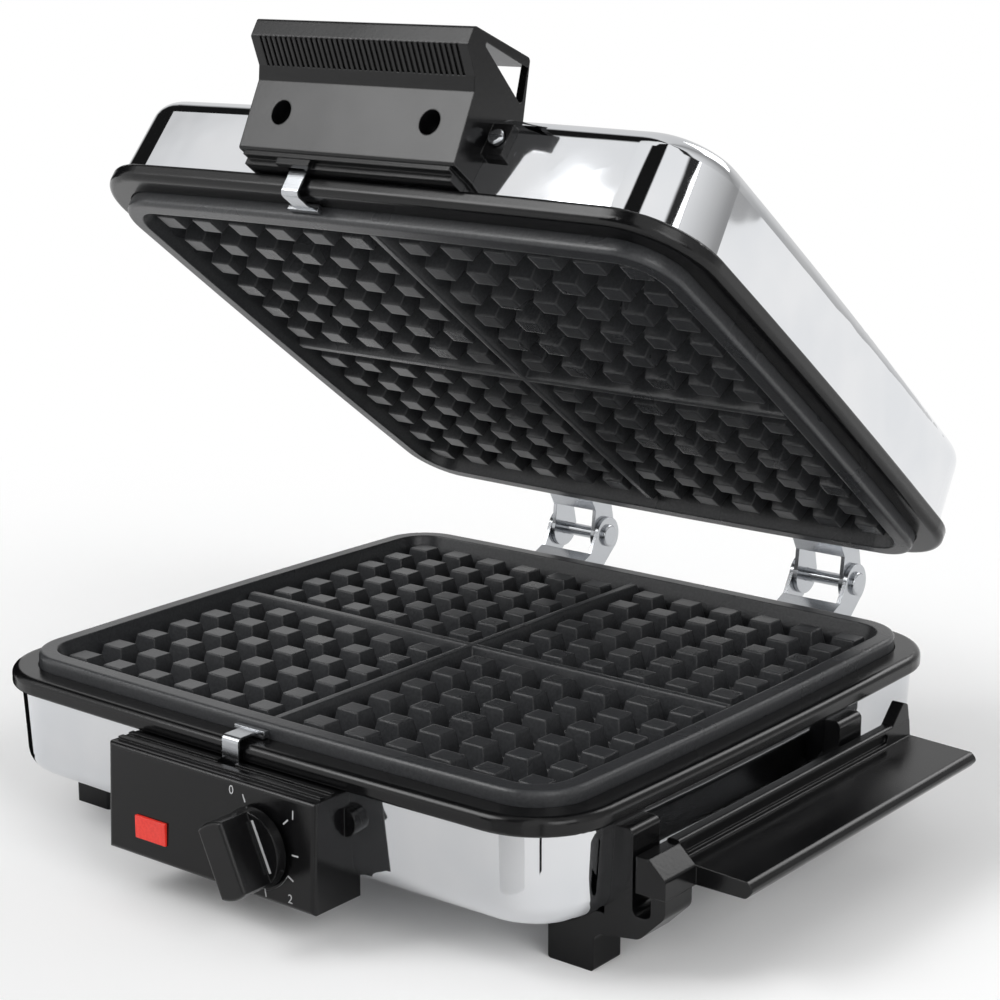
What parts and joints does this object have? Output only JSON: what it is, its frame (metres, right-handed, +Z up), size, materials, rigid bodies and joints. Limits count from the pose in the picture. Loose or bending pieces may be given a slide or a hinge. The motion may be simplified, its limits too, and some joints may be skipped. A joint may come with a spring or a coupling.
{
  "type": "waffle_maker",
  "caption": "Household waffle maker with a chromed base and lid, dark grid plates, a moulded lid handle, a front dial with a lamp and a side handle, standing open.",
  "frame": {"origin": "on the table plane under the middle of the base frame's outline", "axes": "+X to the appliance's right, +Y to the hinges at the back, +Z up"},
  "size_m": [0.2855, 0.2999, 0.2755],
  "materials": {
    "chrome": "bright chrome plating",
    "black_plastic": "black phenolic, satin",
    "nonstick": "dark non-stick coating on a cast plate",
    "steel": "bright steel sheet and screws",
    "element": "dull heating element sheath",
    "aluminium": "bright reflector sheet",
    "red_lens": "translucent red lens",
    "lamp_glass": "small glass lamp",
    "ceramic": "white ceramic",
    "lead": "woven heat-resistant sleeve"
  },
  "bodies": {
    "base": {"base_shell": "chrome", "base_frame": "black_plastic", "lower_plate": "nonstick", "lower_plate_hooks": "steel", "lower_heating_element": "element", "lower_element_supports": "ceramic", "lower_reflector": "aluminium", "lower_reflector_screws": "steel", "control_box": "black_plastic", "control_box_screws": "steel", "thermostat_body": "ceramic", "thermostat_bracket": "steel", "indicator_lens": "red_lens", "indicator_lamp": "lamp_glass", "side_handle": "black_plastic", "front_side_bracket": "black_plastic", "rear_side_bracket": "black_plastic", "front_left_foot": "black_plastic", "rear_left_foot": "black_plastic", "rear_right_foot": "black_plastic", "foot_screws": "steel", "lower_hinge_left": "steel", "lower_hinge_right": "steel", "hinge_pin_left": "steel", "hinge_pin_right": "steel", "lower_hinge_screws": "steel", "supply_gland": "black_plastic", "lower_lead_bush": "black_plastic", "terminal_block": "ceramic", "thermal_fuse": "steel", "internal_leads": "lead"},
    "lid": {"lid_shell": "chrome", "lid_frame": "black_plastic", "lid_frame_screws": "steel", "upper_plate": "nonstick", "upper_plate_hooks": "steel", "upper_heating_element": "element", "upper_element_supports": "ceramic", "upper_reflector": "aluminium", "upper_reflector_screws": "steel", "upper_hinge_left": "steel", "upper_hinge_right": "steel", "upper_hinge_screws": "steel", "upper_lead_bush": "black_plastic", "lid_handle": "black_plastic", "lid_handle_screws": "steel", "lid_handle_nuts": "steel"},
    "dial": {"dial_knob": "black_plastic", "thermostat_shaft": "steel"},
    "lower_clip": {"lower_plate_clip": "steel"},
    "upper_clip": {"upper_plate_clip": "steel"}
  },
  "joints": [
    {"name": "lid_hinge", "type": "hinge", "parent": "base", "child": "lid", "pos_m": [0, 0.145, 0.062], "axis": [-1, 0, 0], "range_deg": [-36.5, 143.5]},
    {"name": "dial_turn", "type": "hinge", "parent": "base", "child": "dial", "pos_m": [0.022, -0.13, 0.032], "axis": [0, 1, 0], "range_deg": [0, 275]},
    {"name": "lower_clip_bend", "type": "hinge", "parent": "base", "child": "lower_clip", "pos_m": [0, -0.1197, 0.044], "axis": [1, 0, 0], "range_deg": [0, 12], "stiffness_Nm_per_rad": 0.1},
    {"name": "upper_clip_bend", "type": "hinge", "parent": "lid", "child": "upper_clip", "pos_m": [-0.021, -0.05707, 0.23392], "axis": [-1, 0, 0], "range_deg": [0, 12], "stiffness_Nm_per_rad": 0.1}
  ]
}
